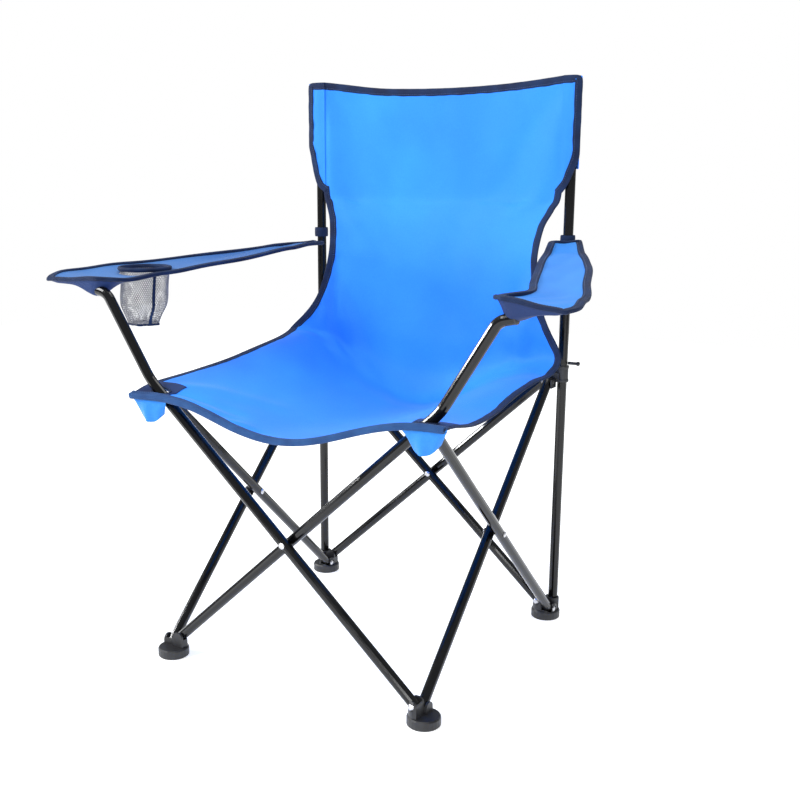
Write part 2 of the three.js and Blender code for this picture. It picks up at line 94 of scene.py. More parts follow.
def catmull(rows, t):
    """Rows of values along a smooth curve through them, at t from 0 to 1 for each entry of t."""
    rows = np.asarray(rows, float)
    last = len(rows) - 1
    place = np.clip(t, 0, 1) * last
    i = np.minimum(place.astype(int), last - 1)
    f = (place - i)[..., None]
    first, end = 2 * rows[0] - rows[1], 2 * rows[-1] - rows[-2]
    before = np.where((i > 0)[..., None], rows[np.maximum(i - 1, 0)], first)
    after = np.where((i < last - 1)[..., None], rows[np.minimum(i + 2, last)], end)
    a, b = rows[i], rows[i + 1]
    return 0.5 * (2 * a + (b - before) * f + (2 * before - 5 * a + 4 * b - after) * f**2
                  + (3 * a - before - 3 * b + after) * f**3)


def unit(v):
    return v / np.maximum(np.linalg.norm(v, axis=-1, keepdims=True), 1e-12)


def turns(count):
    """Angles at even steps round a circle."""
    return np.arange(count) * 2 * math.pi / count


def oval(wide, high, count):
    """Points of an oval cross-section."""
    return [(math.cos(a) * wide, math.sin(a) * high) for a in turns(count)]


def circle(centre, radius, count):
    """Points of a level circle."""
    angles = turns(count)
    return centre + radius * np.stack([np.cos(angles), np.sin(angles), 0 * angles], axis=-1)


def upward(count):
    """The same upward direction, once for each of count points."""
    return np.tile(UP, (count, 1))


def run_of(path):
    """Length along a path at each of its points."""
    return np.concatenate([[0], np.cumsum(np.linalg.norm(np.diff(path, axis=0), axis=1))])


def put(name, data):
    """An object in the scene, from its data."""
    made = bpy.data.objects.new(name, data)
    bpy.context.scene.collection.objects.link(made)
    return made


def smooth(mesh, sharp=SHARP):
    mesh.shade_smooth()
    mesh.set_sharp_from_angle(angle=math.radians(sharp))


def new_piece(name, points, faces, uvs=None, sharp=SHARP):
    """A mesh object from points, faces and one UV for each point, smooth except at sharp edges."""
    mesh = bpy.data.meshes.new(name)
    mesh.from_pydata([tuple(p) for p in points], [], faces)
    if uvs is not None:
        layer = mesh.uv_layers.new(name="UVMap")
        corners = np.zeros(len(mesh.loops), np.int32)
        mesh.loops.foreach_get("vertex_index", corners)
        layer.data.foreach_set("uv", np.asarray(uvs, float)[corners].ravel())
    smooth(mesh, sharp)
    return put(name, mesh)


def grid_faces(rows, columns, start=0, flip=False, around=False):
    """Quads of a grid of points whose first is start; around closes each row into a ring."""
    faces = []
    for j in range(rows - 1):
        for i in range(columns if around else columns - 1):
            k = (i + 1) % columns
            quad = [start + j * columns + i, start + j * columns + k,
                    start + (j + 1) * columns + k, start + (j + 1) * columns + i]
            faces.append(quad[::-1] if flip else quad)
    return faces


def grid_normals(points):
    down, across = np.gradient(points, axis=0), np.gradient(points, axis=1)
    return unit(np.cross(across, down))


def shell(name, points, thick=CLOTH):
    """A closed sheet of that thickness over a grid of points, with UVs in metres of cloth."""
    rows, columns = points.shape[:2]
    normal = grid_normals(points)
    layers = np.concatenate([(points + normal * thick / 2).reshape(-1, 3),
                             (points - normal * thick / 2).reshape(-1, 3)])
    half = rows * columns
    faces = grid_faces(rows, columns) + grid_faces(rows, columns, half, flip=True)
    rim = [(0, i) for i in range(columns - 1)]
    rim += [(j, columns - 1) for j in range(rows - 1)]
    rim += [(rows - 1, i) for i in range(columns - 1, 0, -1)]
    rim += [(j, 0) for j in range(rows - 1, 0, -1)]
    loop = [j * columns + i for j, i in rim]
    for a, b in zip(loop, loop[1:] + loop[:1]):
        faces.append([b, a, half + a, half + b])
    u = np.cumsum(np.linalg.norm(np.diff(points, axis=1, prepend=points[:, :1]), axis=2), axis=1)
    v = np.cumsum(np.linalg.norm(np.diff(points, axis=0, prepend=points[:1]), axis=2), axis=0)
    uv = np.stack([u - u[:, -1:] / 2 + 0.3, v], axis=-1).reshape(-1, 2)
    return new_piece(name, layers, faces, np.concatenate([uv, uv]))


def sweep(name, path, first, second, profile, closed=False):
    """A bar along a path: profile points lie along the two directions given at each path point."""
    count, around = len(path), len(profile)
    rings = [path + first * a + second * b for a, b in profile]
    points = np.stack(rings, axis=1).reshape(-1, 3)
    faces = []
    for j in range(count if closed else count - 1):
        k = (j + 1) % count
        for i in range(around):
            n = (i + 1) % around
            faces.append([j * around + i, j * around + n, k * around + n, k * around + i])
    if not closed:
        faces.append(list(range(around))[::-1])
        faces.append([(count - 1) * around + i for i in range(around)])
    run = run_of(path)
    uv = [(run[j], TAPE_GIRTH * i / around) for j in range(count) for i in range(around)]
    return new_piece(name, points, faces, uv, sharp=50)


def resample(path, step, *others):
    """The path and what goes with it, at even steps."""
    run = run_of(path)
    at = np.linspace(0, run[-1], max(int(run[-1] / step), 2) + 1)
    return [np.stack([np.interp(at, run, a[:, k]) for k in range(3)], axis=1)
            for a in (path, *others)]


def tape_profile(wide=TAPE_WIDE, thick=TAPE_THICK, proud=0.0018):
    """A tape folded over an edge, along inward and normal: full at its fold, thinner at its hem."""
    h = thick / 2
    face = [(wide, h * 0.72), (wide * 0.93, h * 0.98), (wide * 0.45, h * 0.9), (0.0006, h * 1.12),
            (-proud * 0.75, h * 0.8)]
    return face + [(-proud, 0)] + [(a, -b) for a, b in face[::-1]]


def sew(name, lines):
    """Short rounded threads along each line, lying on the surface: (path, normal at each point)."""
    points, faces, uvs = [], [], []
    sides = 5
    ring = oval(1, 1, sides)
    sections = ((-0.38, 0.00022), (0, 0.00048), (0.38, 0.00022))    # share of a step, radius
    for path, normal in lines:
        at, up = resample(path, STITCH, normal)
        along = unit(np.gradient(at, axis=0))
        side = unit(np.cross(up, along))
        for p, t, n, s in zip(at, along, up, side):
            base = len(points)
            for reach, radius in sections:
                for c, d in ring:
                    points.append(p + t * reach * STITCH + (s * c + n * d) * radius)
                    uvs.append((reach * STITCH, 0))
            faces += grid_faces(len(sections), sides, base, around=True)
            faces.append([base + i for i in range(sides - 1, -1, -1)])
            faces.append([base + (len(sections) - 1) * sides + i for i in range(sides)])
    return dress(new_piece(name, points, faces, uvs, sharp=80), THREAD)


def join(name, pieces):
    """One piece from several, under a new name."""
    if len(pieces) > 1:
        with bpy.context.temp_override(active_object=pieces[0], selected_editable_objects=pieces):
            bpy.ops.object.join()
    pieces[0].name = name
    pieces[0].data.name = name
    return pieces[0]


def cut(piece, cutters):
    """Takes each cutter out of the piece."""
    for cutter in cutters:
        change = piece.modifiers.new("cut", "BOOLEAN")
        change.operation, change.solver, change.object = "DIFFERENCE", "EXACT", cutter
    bpy.context.view_layer.update()
    graph = bpy.context.evaluated_depsgraph_get()
    mesh = bpy.data.meshes.new_from_object(piece.evaluated_get(graph))
    piece.modifiers.clear()
    piece.data = mesh
    for cutter in cutters:
        bpy.data.objects.remove(cutter)
    smooth(mesh)


def cylinder(at, along, radius, length, sides=32):
    """A plain cylinder, used only as a cutter."""
    turn = Vector(along).to_track_quat("Z", "Y").to_matrix()
    points = []
    for end in (-0.5, 0.5):
        for x, y in oval(radius, radius, sides):
            points.append(Vector(at) + turn @ Vector((x, y, end * length)))
    faces = grid_faces(2, sides, around=True)
    faces += [list(range(sides))[::-1], list(range(sides, 2 * sides))]
    return new_piece("cutter", points, faces)


# ---- materials ----
class Finish:
    """A material with its nodes, made by short calls."""

    def __init__(self, name, roughness, metallic=0.0, specular=0.5, sheen=0.0,
                 coat=0.0, coat_rough=0.1):
        self.material = bpy.data.materials.new(name)
        self.material.use_nodes = True
        self.tree = self.material.node_tree
        self.shader = self.tree.nodes["Principled BSDF"]
        for socket, value in (
            ("Roughness", roughness), ("Metallic", metallic), ("Specular IOR Level", specular),
            ("Sheen Weight", sheen), ("Sheen Roughness", 0.4),
            ("Coat Weight", coat), ("Coat Roughness", coat_rough),
        ):
            self.shader.inputs[socket].default_value = value
        self.places = self.add("ShaderNodeTexCoord")

    def add(self, kind, links=(), **values):
        """A node with its incoming links, and its own settings or inputs by name."""
        node = self.tree.nodes.new(kind)
        for key, value in values.items():
            if hasattr(node, key):
                setattr(node, key, value)
            else:
                node.inputs[key.replace("_", " ")].default_value = value
        for socket, source in dict(links).items():
            self.tree.links.new(source, node.inputs[socket])
        return node

    def noise(self, scale, detail=3.0, stretch=(1, 1, 1)):
        scaled = self.add("ShaderNodeMapping", {"Vector": self.places.outputs["Object"]})
        scaled.inputs["Scale"].default_value = stretch
        links = {"Vector": scaled.outputs[0]}
        return self.add("ShaderNodeTexNoise", links, Scale=scale, Detail=detail).outputs[0]

    def ramp(self, source, stops):
        """Colours or values between stops of (place, grey or colour)."""
        node = self.add("ShaderNodeValToRGB", {"Fac": source})
        while len(node.color_ramp.elements) < len(stops):
            node.color_ramp.elements.new(0.5)
        for element, (place, color) in zip(node.color_ramp.elements, stops):
            element.position = place
            element.color = (*color, 1) if isinstance(color, tuple) else (color, color, color, 1)
        return node.outputs[0]

    def math(self, operation, a, b):
        node = self.add("ShaderNodeMath", operation=operation)
        for socket, value in zip(node.inputs, (a, b)):
            if isinstance(value, (int, float)):
                socket.default_value = value
            else:
                self.tree.links.new(value, socket)
        return node.outputs[0]

    def weave(self, pitch):
        """Height of a plain weave over the UVs, which are in metres: over and under threads."""
        scaled = self.add("ShaderNodeMapping", {"Vector": self.places.outputs["UV"]})
        scaled.inputs["Scale"].default_value = (1 / pitch, 1 / pitch, 1)
        parts = self.add("ShaderNodeSeparateXYZ", {0: scaled.outputs[0]})
        waves = [self.math("SINE", self.math("MULTIPLY", parts.outputs[k], math.pi), 0)
                 for k in (0, 1)]
        return self.math("MULTIPLY", *waves)

    def color(self, source):
        self.tree.links.new(source, self.shader.inputs["Base Color"])

    def roughness(self, source):
        self.tree.links.new(source, self.shader.inputs["Roughness"])

    def bump(self, source, strength, distance, after=None):
        links = {"Height": source}
        if after is not None:
            links["Normal"] = after
        node = self.add("ShaderNodeBump", links, Strength=strength, Distance=distance)
        self.tree.links.new(node.outputs[0], self.shader.inputs["Normal"])
        return node.outputs[0]


def cloth_finish(name, dark, light, sheen=0.12):
    """Coated polyester: a plain weave, soft patches of lighter blue, and a faint sheen."""
    made = Finish(name, roughness=0.62, specular=0.32, sheen=sheen)
    broad = made.noise(5.0, 4.0)
    fine = made.noise(420.0, 2.0)
    shade = made.math("ADD", made.math("MULTIPLY", broad, 0.75), made.math("MULTIPLY", fine, 0.25))
    made.color(made.ramp(shade, [(0.3, dark), (0.7, light)]))
    made.roughness(made.ramp(broad, [(0.2, 0.56), (0.8, 0.7)]))
    weave = made.bump(made.weave(WEAVE_PITCH), 0.28, 0.00025)
    made.bump(made.noise(55.0, 5.0), 0.1, 0.0012, after=weave)
    return made.material


def tape_finish(name, dark, light):
    """Woven polyester tape: ribs across it, and worn lighter in places."""
    made = Finish(name, roughness=0.7, specular=0.2, sheen=0.04)
    scaled = made.add("ShaderNodeMapping", {"Vector": made.places.outputs["UV"]})
    ribs = made.add("ShaderNodeTexWave", {"Vector": scaled.outputs[0]}, Scale=420.0, Distortion=0.4)
    worn = made.noise(38.0, 5.0)
    made.color(made.ramp(worn, [(0.35, dark), (0.75, light)]))
    made.roughness(made.ramp(worn, [(0.2, 0.62), (0.8, 0.8)]))
    ribbed = made.bump(ribs.outputs["Fac"], 0.35, 0.0003)
    made.bump(made.noise(160.0), 0.18, 0.0006, after=ribbed)
    return made.material


def plain_finish(name, spots, colors, rough, grain, **shader):
    """Colour and roughness that vary with one noise, under a fine grain."""
    made = Finish(name, **shader)
    spots = made.noise(*spots)
    made.color(made.ramp(spots, colors))
    if rough:
        made.roughness(made.ramp(spots, rough))
    scale, detail, strength, distance = grain
    made.bump(made.noise(scale, detail), strength, distance)
    return made.material


BLUE = cloth_finish("blue_cloth_finish", (0.006, 0.185, 0.86), (0.022, 0.27, 0.98))
# The armrests' cloth: the left one's colours are a darker copy of the right one's, painted shade for the
# less light that falls on that side.
ARM_BLUE_AND_PAINTED_SHADE = {
    "left": cloth_finish("left_arm_cloth_painted_shade_finish",
                         (0.010, 0.082, 0.29), (0.030, 0.145, 0.41), sheen=0.1),
    "right": cloth_finish("right_arm_cloth_finish",
                          (0.010, 0.170, 0.60), (0.032, 0.250, 0.74), sheen=0.08),
}
PATCH_BLUE = cloth_finish("patch_cloth_finish",
                          (0.003, 0.015, 0.075), (0.008, 0.032, 0.13), sheen=0.03)
NAVY = tape_finish("navy_tape_finish", (0.003, 0.010, 0.040), (0.010, 0.028, 0.085))
SOFT_NAVY = tape_finish("front_tape_finish", (0.010, 0.045, 0.15), (0.022, 0.078, 0.22))
# gloss powder coat with a faint orange peel and small scuffs
TUBE = plain_finish("black_tube_finish", (26.0, 8.0, (1, 1, 0.25)),
                    [(0.45, (0.0012, 0.0012, 0.0014)), (0.8, (0.005, 0.005, 0.006))],
                    [(0.4, 0.11), (0.85, 0.26)], (700.0, 2.0, 0.05, 0.0003),
                    roughness=0.16, specular=0.32, coat=0.12, coat_rough=0.05)
# moulded polypropylene, satin, with paler rubbed patches
PLASTIC = plain_finish("black_plastic_finish", (45.0, 6.0),
                       [(0.4, (0.010, 0.010, 0.012)), (0.78, (0.030, 0.031, 0.034))],
                       [(0.3, 0.34), (0.8, 0.56)], (900.0, 3.0, 0.12, 0.0003),
                       roughness=0.42, specular=0.45)
# bright steel with small dull spots
RIVET = plain_finish("rivet_steel_finish", (300.0, 5.0),
                     [(0.3, (0.42, 0.42, 0.44)), (0.7, (0.74, 0.74, 0.76))],
                     [(0.3, 0.22), (0.8, 0.42)], (1200.0, 2.0, 0.08, 0.0002),
                     roughness=0.28, metallic=1.0)
NET = plain_finish("grey_mesh_finish", (120.0, 3.0),
                   [(0.3, (0.15, 0.15, 0.165)), (0.7, (0.28, 0.28, 0.30))],
                   [(0.3, 0.5), (0.7, 0.72)], (2500.0, 2.0, 0.2, 0.0002),
                   roughness=0.6, specular=0.35, sheen=0.2)
THREAD = plain_finish("thread_finish", (200.0, 2.0),
                      [(0.3, (0.010, 0.026, 0.085)), (0.7, (0.022, 0.052, 0.15))],
                      None, (3000.0, 2.0, 0.3, 0.0002), roughness=0.6, specular=0.35, sheen=0.2)
FINISHES = {"black_tube": TUBE, "black_plastic": PLASTIC, "rivet_steel": RIVET,
            "blue_cloth": BLUE, "navy_binding": NAVY, "grey_mesh": NET}
EASE = {"width": 0.0005, "segments": 2, "angle_limit": math.radians(40)}
FRAME_SHARP = 32        # as SHARP, for the hard parts


def dress(piece, material):
    """Gives the piece its material."""
    piece.data.materials.clear()
    piece.data.materials.append(material)
    return piece


def dress_frame():
    """The CAD's hard parts keep their shape and take a detailed finish; the feet, sliders and corner
    brackets take eased edges.
    """
    for row in frame["record"]["subparts"]:
        node = NODES[row["node"]]
        finish = FINISHES[row["material_slot"]]
        for place in node.material_slots:
            place.material = finish
        if "custom_normal" in node.data.attributes:
            node.data.attributes.remove(node.data.attributes["custom_normal"])
        smooth(node.data, FRAME_SHARP)
        if row["node"].startswith(("foot_", "slider_", "corner_bracket_")):
            ease = node.modifiers.new("eased edges", "BEVEL")
            for key, value in EASE.items():
                setattr(ease, key, value)


# ---- the sling: one cloth, from the seat's front edge to the top of the back ----
# Each row: half width, Y at the edge, how far the middle lies behind the edge, Z at the edge, dip,
# and how far the left and the right edges stand above that Z.
SEAT_ROWS = [
    (0.248, -0.2400, 0.000, 0.4100, 0.048, -0.013, -0.003),
    (0.2420, -0.2000, 0.000, 0.4098, 0.052, -0.001, -0.008),
    (0.2330, -0.1200, 0.003, 0.4070, 0.057, 0.008, -0.019),
    (0.2272, -0.0410, 0.006, 0.4070, 0.062, 0.015, -0.019),
    (0.2255, 0.0300, 0.012, 0.4090, 0.067, 0.022, -0.009),
    (0.2290, 0.0940, 0.024, 0.4140, 0.074, 0.023, -0.005),
    (0.2360, 0.1360, 0.037, 0.4240, 0.081, 0.018, -0.010),
]
BACK_ROWS = [
    (0.2390, 0.1590, 0.042, 0.4450, 0.066, 0.005, -0.008),
    (0.2120, 0.1690, 0.038, 0.4800, 0.040, 0.000, 0.000),
    (0.1960, 0.1780, 0.034, 0.5130, 0.020, 0.000, 0.000),
    (0.1840, 0.1870, 0.030, 0.5700, 0.004, 0.000, 0.000),
    (0.1880, 0.1980, 0.028, 0.6200, 0.000, 0.000, 0.000),
    (0.1995, 0.2075, 0.026, 0.6480, 0.000, 0.000, 0.000),
    (0.2085, 0.2130, 0.026, 0.6730, 0.000, 0.000, 0.000),
    (0.2085, 0.2135, 0.024, 0.7600, 0.003, 0.000, 0.000),
    (0.2085, 0.2135, 0.022, 0.8385, 0.0095, 0.005, 0.0005),
]
SLING = SEAT_ROWS + BACK_ROWS
LAST = len(SLING) - 1
SEAT_SPLIT = 3 / LAST                           # where the seat parts as the chair folds
JUNCTION = (len(SEAT_ROWS) - 0.35) / LAST       # where the seat meets the back
WAIST = (len(SEAT_ROWS) + 3) / LAST             # the back's narrowest place
POCKET_ROW = (len(SEAT_ROWS) + 6) / LAST        # the pockets' lower end
SEAT_DIP_END, BACK_DIP_START = 6.0, 8.5         # rows between which the dip changes its form
DIP_REACH = 0.230                               # from the middle to where the seat's dip ends
FIRST_ROW_Y, ROW_STEP_Y = 0.2400, 0.04          # Y forward of the first row, and to the next one

# Folds: from and to as (s, row number), half width across the fold in metres, depth in metres.
FOLD_SCALE = np.array([0.22, 0.065])            # metres of cloth for one of s, and for one row
FOLDS = [
    ((-0.99, 9.2), (-0.66, 6.2), 0.013, 0.0055),
    ((-0.86, 9.0), (-0.44, 6.3), 0.016, 0.0050),
    ((-0.93, 9.9), (-0.80, 7.2), 0.009, -0.0035),
    ((0.96, 9.3), (0.64, 6.6), 0.015, 0.0048),
    ((0.90, 9.9), (0.50, 7.6), 0.018, -0.0028),
    ((-0.92, 0.55), (-0.40, 1.2), 0.012, -0.0036),
    ((-0.88, 0.95), (-0.42, 2.3), 0.014, 0.0030),
    ((0.90, 0.55), (0.42, 1.0), 0.012, -0.0036),
    ((0.86, 1.1), (0.40, 2.2), 0.014, 0.0030),
    ((-0.40, 0.15), (-0.28, 0.9), 0.011, 0.0034),
    ((-0.29, 0.12), (-0.20, 0.8), 0.010, -0.0026),
    ((-0.50, 0.2), (-0.36, 0.9), 0.010, -0.0022),
    ((0.99, 14.2), (0.66, 11.6), 0.022, 0.0034),
    ((0.88, 14.6), (0.40, 12.8), 0.020, -0.0022),
    ((-0.99, 14.3), (-0.78, 11.0), 0.020, 0.0030),
    ((-0.95, 14.7), (-0.45, 13.4), 0.018, -0.0018),
]


def sling(s, t):
    """Points of the sling at s from -1 (left edge) to 1 and t from 0 (front edge) to 1 (top)."""
    half, y, deep, z, dip, left, right = np.moveaxis(catmull(SLING, t), -1, 0)
    x = s * half
    seat_share = 1 - smoothstep(SEAT_DIP_END, BACK_DIP_START, t * LAST)
    hollow = np.cos(np.pi / 2 * np.minimum(1, np.abs(x) / DIP_REACH)) ** 2
    low = dip * (seat_share * hollow + (1 - seat_share) * (1 - s**2))
    lift = np.where(s < 0, left, right)
    z = z - low + lift * smoothstep(0.45, 1.0, np.abs(s))
    return np.stack([x, y + deep * (1 - s**2) + SHIFT_Y, z], axis=-1)


def folded(points, s, t):
    """The sling with its soft folds and a little unevenness, as moves along its normal."""
    row = t * LAST
    place = np.stack([s, row], axis=-1) * FOLD_SCALE
    depth = np.zeros_like(s)
    for start, end, width, deep in FOLDS:
        start, end = np.array(start) * FOLD_SCALE, np.array(end) * FOLD_SCALE
        run = end - start
        share = ((place - start) @ run) / (run @ run)
        off = np.linalg.norm(place - start - np.clip(share, 0, 1)[..., None] * run, axis=-1)
        fade = np.clip(1.1 - np.abs(share - 0.45), 0, 1)
        depth += deep * np.exp(-((off / width) ** 2)) * fade
    depth += 0.0008 * np.sin(9 * s + 0.8 * row) * np.sin(1.3 * row - 2 * s)
    depth += 0.0005 * np.sin(23 * s + 2.2 * row + 1) * np.sin(2.9 * row + 5 * s)
    # nearly flat along the bound side edges, and flat along the front edge and the top
    depth *= np.clip((1 - np.abs(s)) / 0.05, 0, 1) * 0.85 + 0.15
    depth *= smoothstep(0.05, 0.9, row) * smoothstep(LAST, LAST - 0.3, row)
    return points + grid_normals(points) * depth[..., None]


def sling_part(name, low, high, rows, columns=121):
    """The sling's cloth between two places along it, and its grid of points."""
    s, t = np.meshgrid(np.linspace(-1, 1, columns), np.linspace(low, high, rows))
    points = folded(sling(s, t), s, t)
    return shell(name, points), points


def edge_lines(points, sides):
    """For each side of a grid: the edge's path, the way inward and the surface's normal."""
    normal = grid_normals(points)
    every = slice(None)
    picks = {"left": ((every, 0), (every, 3)), "right": ((every, -1), (every, -4)),
             "low": ((0,), (3,)), "high": ((-1,), (-4,))}
    found = []
    for side in sides:
        edge, inner = picks[side]
        path = points[edge]
        along = unit(np.gradient(path, axis=0))
        inward = unit(points[inner] - path)
        inward = unit(inward - along * (inward * along).sum(-1, keepdims=True))
        across = np.cross(along, inward)
        outside = np.sign((across * normal[edge]).sum(-1, keepdims=True))
        found.append((path, inward, unit(across) * outside))
    return found


def bind(name, lines, material, wide=TAPE_WIDE, thick=TAPE_THICK):
    """Binding tape along each line, with a line of stitches on both of its faces."""
    tapes, stitches = [], []
    for k, (path, inward, up) in enumerate(lines):
        at, into, out = resample(path, TAPE_STEP, inward, up)
        into, out = unit(into), unit(out)
        run = np.arange(len(at)) * TAPE_STEP
        waver = 1 + 0.05 * np.sin(run * 190 + k) * np.sin(run * 61)
        profile = tape_profile(wide, thick)
        tapes.append(sweep(f"{name}_{k}", at, into * waver[:, None], out, profile))
        for face in (1, -1):
            stitches.append((at + into * wide * 0.74 + out * face * thick * 0.47, out * face))
    tape = dress(join(name, tapes), material)
    return tape, sew(f"{name}_stitches", stitches)


# ---- how the cloth gathers as the chair folds: the place that stays, and the share of width left ----
GATHER_BACK = {"anchor": (0.208, 0, 0), "keep": 0.159}
GATHER_SEAT_REAR = {"anchor": (0.189, 0, 0), "keep": 0.07}
GATHER_SEAT_FRONT = {"anchor": (0.217, 0, 0), "keep": 0.24}


def set_moving(pieces, body, gather=None):
    """The pieces ride the body, and those that gather get a mesh of their own."""
    for piece in pieces:
        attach(piece, body)
        if gather:
            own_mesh(piece)


# Each part of the sling: its CAD node, first and last place, rows, bound edges, body, how it
# gathers, and the pair of parts that hold it.
SLING_PARTS = [
    ("seat_front", 0, SEAT_SPLIT, 46, ["low", "left", "right"],
     "seat_front_half", GATHER_SEAT_FRONT, "corner_bracket"),
    ("seat_rear", SEAT_SPLIT, JUNCTION, 60, ["left", "right"],
     "seat_rear_half", GATHER_SEAT_REAR, "slider"),
    ("back_lower", JUNCTION, WAIST, 44, ["left", "right"],
     "right_slider", GATHER_BACK, "slider"),
    ("back_upper", WAIST, 1, 80, ["high", "left", "right"],
     "rear_right_post", GATHER_BACK, "upright"),
]


def build_sling():
    """The seat and back cloth in four parts, with their tapes and the seat's patches."""
    for node, low, high, rows, sides, body, gather, holder in SLING_PARTS:
        piece, points = sling_part(f"{node}_cloth", low, high, rows)
        dress(piece, BLUE)
        extras = []
        lines = edge_lines(points, sides)
        if node == "back_upper":
            # the side tapes end where the pockets begin
            below = int(rows * (POCKET_ROW - low) / (high - low)) + 2
            lines = lines[:1] + [tuple(part[:below] for part in line) for line in lines[1:]]
        if node == "seat_front":
            extras += bind("seat_front_edge_binding", lines[:1], SOFT_NAVY, wide=0.0100, thick=0.0085)
            extras += bind("seat_front_side_binding", lines[1:], NAVY)
            cut(piece, [arm_hole(side) for side, _ in SIDES])
            extras += seat_patches()
        else:
            extras += bind(f"{node}_binding", lines, NAVY)
        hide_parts(node)
        set_moving([piece, *extras], body, gather)


def arm_axis_y(side):
    """Y of an arm tube's middle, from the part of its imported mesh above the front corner."""
    sign = -1 if side == "left" else 1
    tube = np.array([v.co for v in NODES[f"front_tube_{side}_arm"].data.vertices])
    wanted = tube[(tube[:, 0] * sign > 0.19) & (tube[:, 2] > 0.36)]
    return (wanted[:, 1].max() + wanted[:, 1].min()) / 2


# ---- where the arm tubes come up through the seat ----
SLOPE = math.atan2(0.369, 0.404)        # of a front tube: rise and run between its rivets
TOP_RIVET_X, TOP_RIVET_Z = 0.202, 0.398
SLOT_RISE = 0.014                       # from the upper rivet to the cloth
SLOT_R, SLOT_LONG = 0.0098, 0.12
arm_places = {}
for side, sign in SIDES:
    slot = Vector((sign * TOP_RIVET_X + sign * SLOT_RISE / math.tan(SLOPE), arm_axis_y(side),
                   TOP_RIVET_Z + SLOT_RISE))
    arm_places[side] = (slot, Vector((sign * math.cos(SLOPE), 0, math.sin(SLOPE))))


def arm_hole(side):
    """A cutter for the slot that an arm tube comes through."""
    return cylinder(*arm_places[side], SLOT_R, SLOT_LONG)


def seat_place(y):
    """Place along the sling, from 0 to 1, of that Y in the front part of the seat."""
    return (y - SHIFT_Y + FIRST_ROW_Y) / ROW_STEP_Y / LAST


def seat_patches():
    """Dark cloth sewn over the seat's front corners, round the slots for the arm tubes."""
    made = []
    half_seat, reach = 0.243, 0.13      # half width of the seat there, and of a patch along s
    for side, _ in SIDES:
        at = arm_places[side][0]
        middle_s, middle_t = at.x / half_seat, seat_place(at.y)
        s, t = np.meshgrid(
            np.linspace(middle_s - reach, middle_s + reach, 31),
            np.linspace(max(middle_t - 0.55 / LAST, 0.02 / LAST), middle_t + 0.62 / LAST, 24))
        s = np.clip(s, -0.985, 0.985)
        patch = folded(sling(s, t), s, t) + grid_normals(sling(s, t)) * CLOTH
        piece = shell(f"seat_patch_{side}", patch, THIN_CLOTH)
        cut(piece, [arm_hole(side)])
        made.append(dress(piece, PATCH_BLUE))
        made.append(slot_lip(side))
    return made


def slot_lip(side):
    """A rolled tape hem round the slot that the arm tube comes through."""
    at, along = arm_places[side]
    forward = Vector((0, 1, 0))
    side_way = along.cross(forward).normalized()
    path = []
    for a in turns(40):
        # slid along the tube until it lies on the cloth
        best = at + (forward * math.cos(a) + side_way * math.sin(a)) * (SLOT_R + 0.0006)
        for _ in range(8):
            best = best + along * ((seat_height(best.x, best.y) - best.z) / max(along.z, 0.3))
        path.append(np.array(best) + UP * 0.0016)
    path = np.array(path)
    tangent = unit(np.roll(path, -1, axis=0) - np.roll(path, 1, axis=0))
    up = upward(len(path))
    out = unit(np.cross(tangent, up))
    lip = sweep(f"seat_slot_hem_{side}", path, out, up, oval(0.0017, 0.0014, 8), closed=True)
    return dress(lip, NAVY)


def seat_height(x, y):
    """Height of the front part of the seat at a point in plan."""
    t = np.array([seat_place(y)])
    half = catmull(SLING, t)[0][0]
    return float(sling(np.array([x / half]), t)[0][2])


# ---- pockets at the top of the back ----
# Plan of each pocket round its upright, in millimetres outward and back from the upright's axis: the
# front layer carries on from the back's cloth to the outer edge, and the rear layer comes back behind.
POCKET_PLAN = {
    "left": [(-13.5, -8.6), (-10, -8.9), (-6, -9.2), (-2, -9.4), (3, -9.3), (9, -8.8), (14, -7.8),
             (17.5, -6.6), (15.0, -2.4), (10, 3.6), (4, 8.3), (-2, 9.1), (-7, 7.6), (-11, 3.4),
             (-13.5, -4.6)],
    "right": [(-13.5, -8.6), (-10, -8.9), (-6, -9.2), (-2, -9.2), (2, -9.2), (6, -8.8), (9.5, -7.6),
              (12.8, -5.6), (11.6, -0.6), (8.6, 4.8), (3, 8.6), (-2, 9.1), (-7, 7.6), (-11, 3.4),
              (-13.5, -4.6)],
}
POCKET_EDGE = 7                 # place of the outer edge in the plan
POCKET_FINE = 4                 # columns from one place in the plan to the next
# height of the front layer's lower hem: beside the back's cloth, midway, and at the outer edge
POCKET_HEM = {"left": (0.671, 0.686, 0.745), "right": (0.671, 0.689, 0.724)}
POCKET_TOP = {"left": 0.0035, "right": -0.0010}     # above the CAD pocket's top
POCKET_ROOF = 0.0032            # height over which the two layers close at the top
POCKET_REAR_HEM = 0.006         # the rear layer's hem, above the CAD pocket's lower end


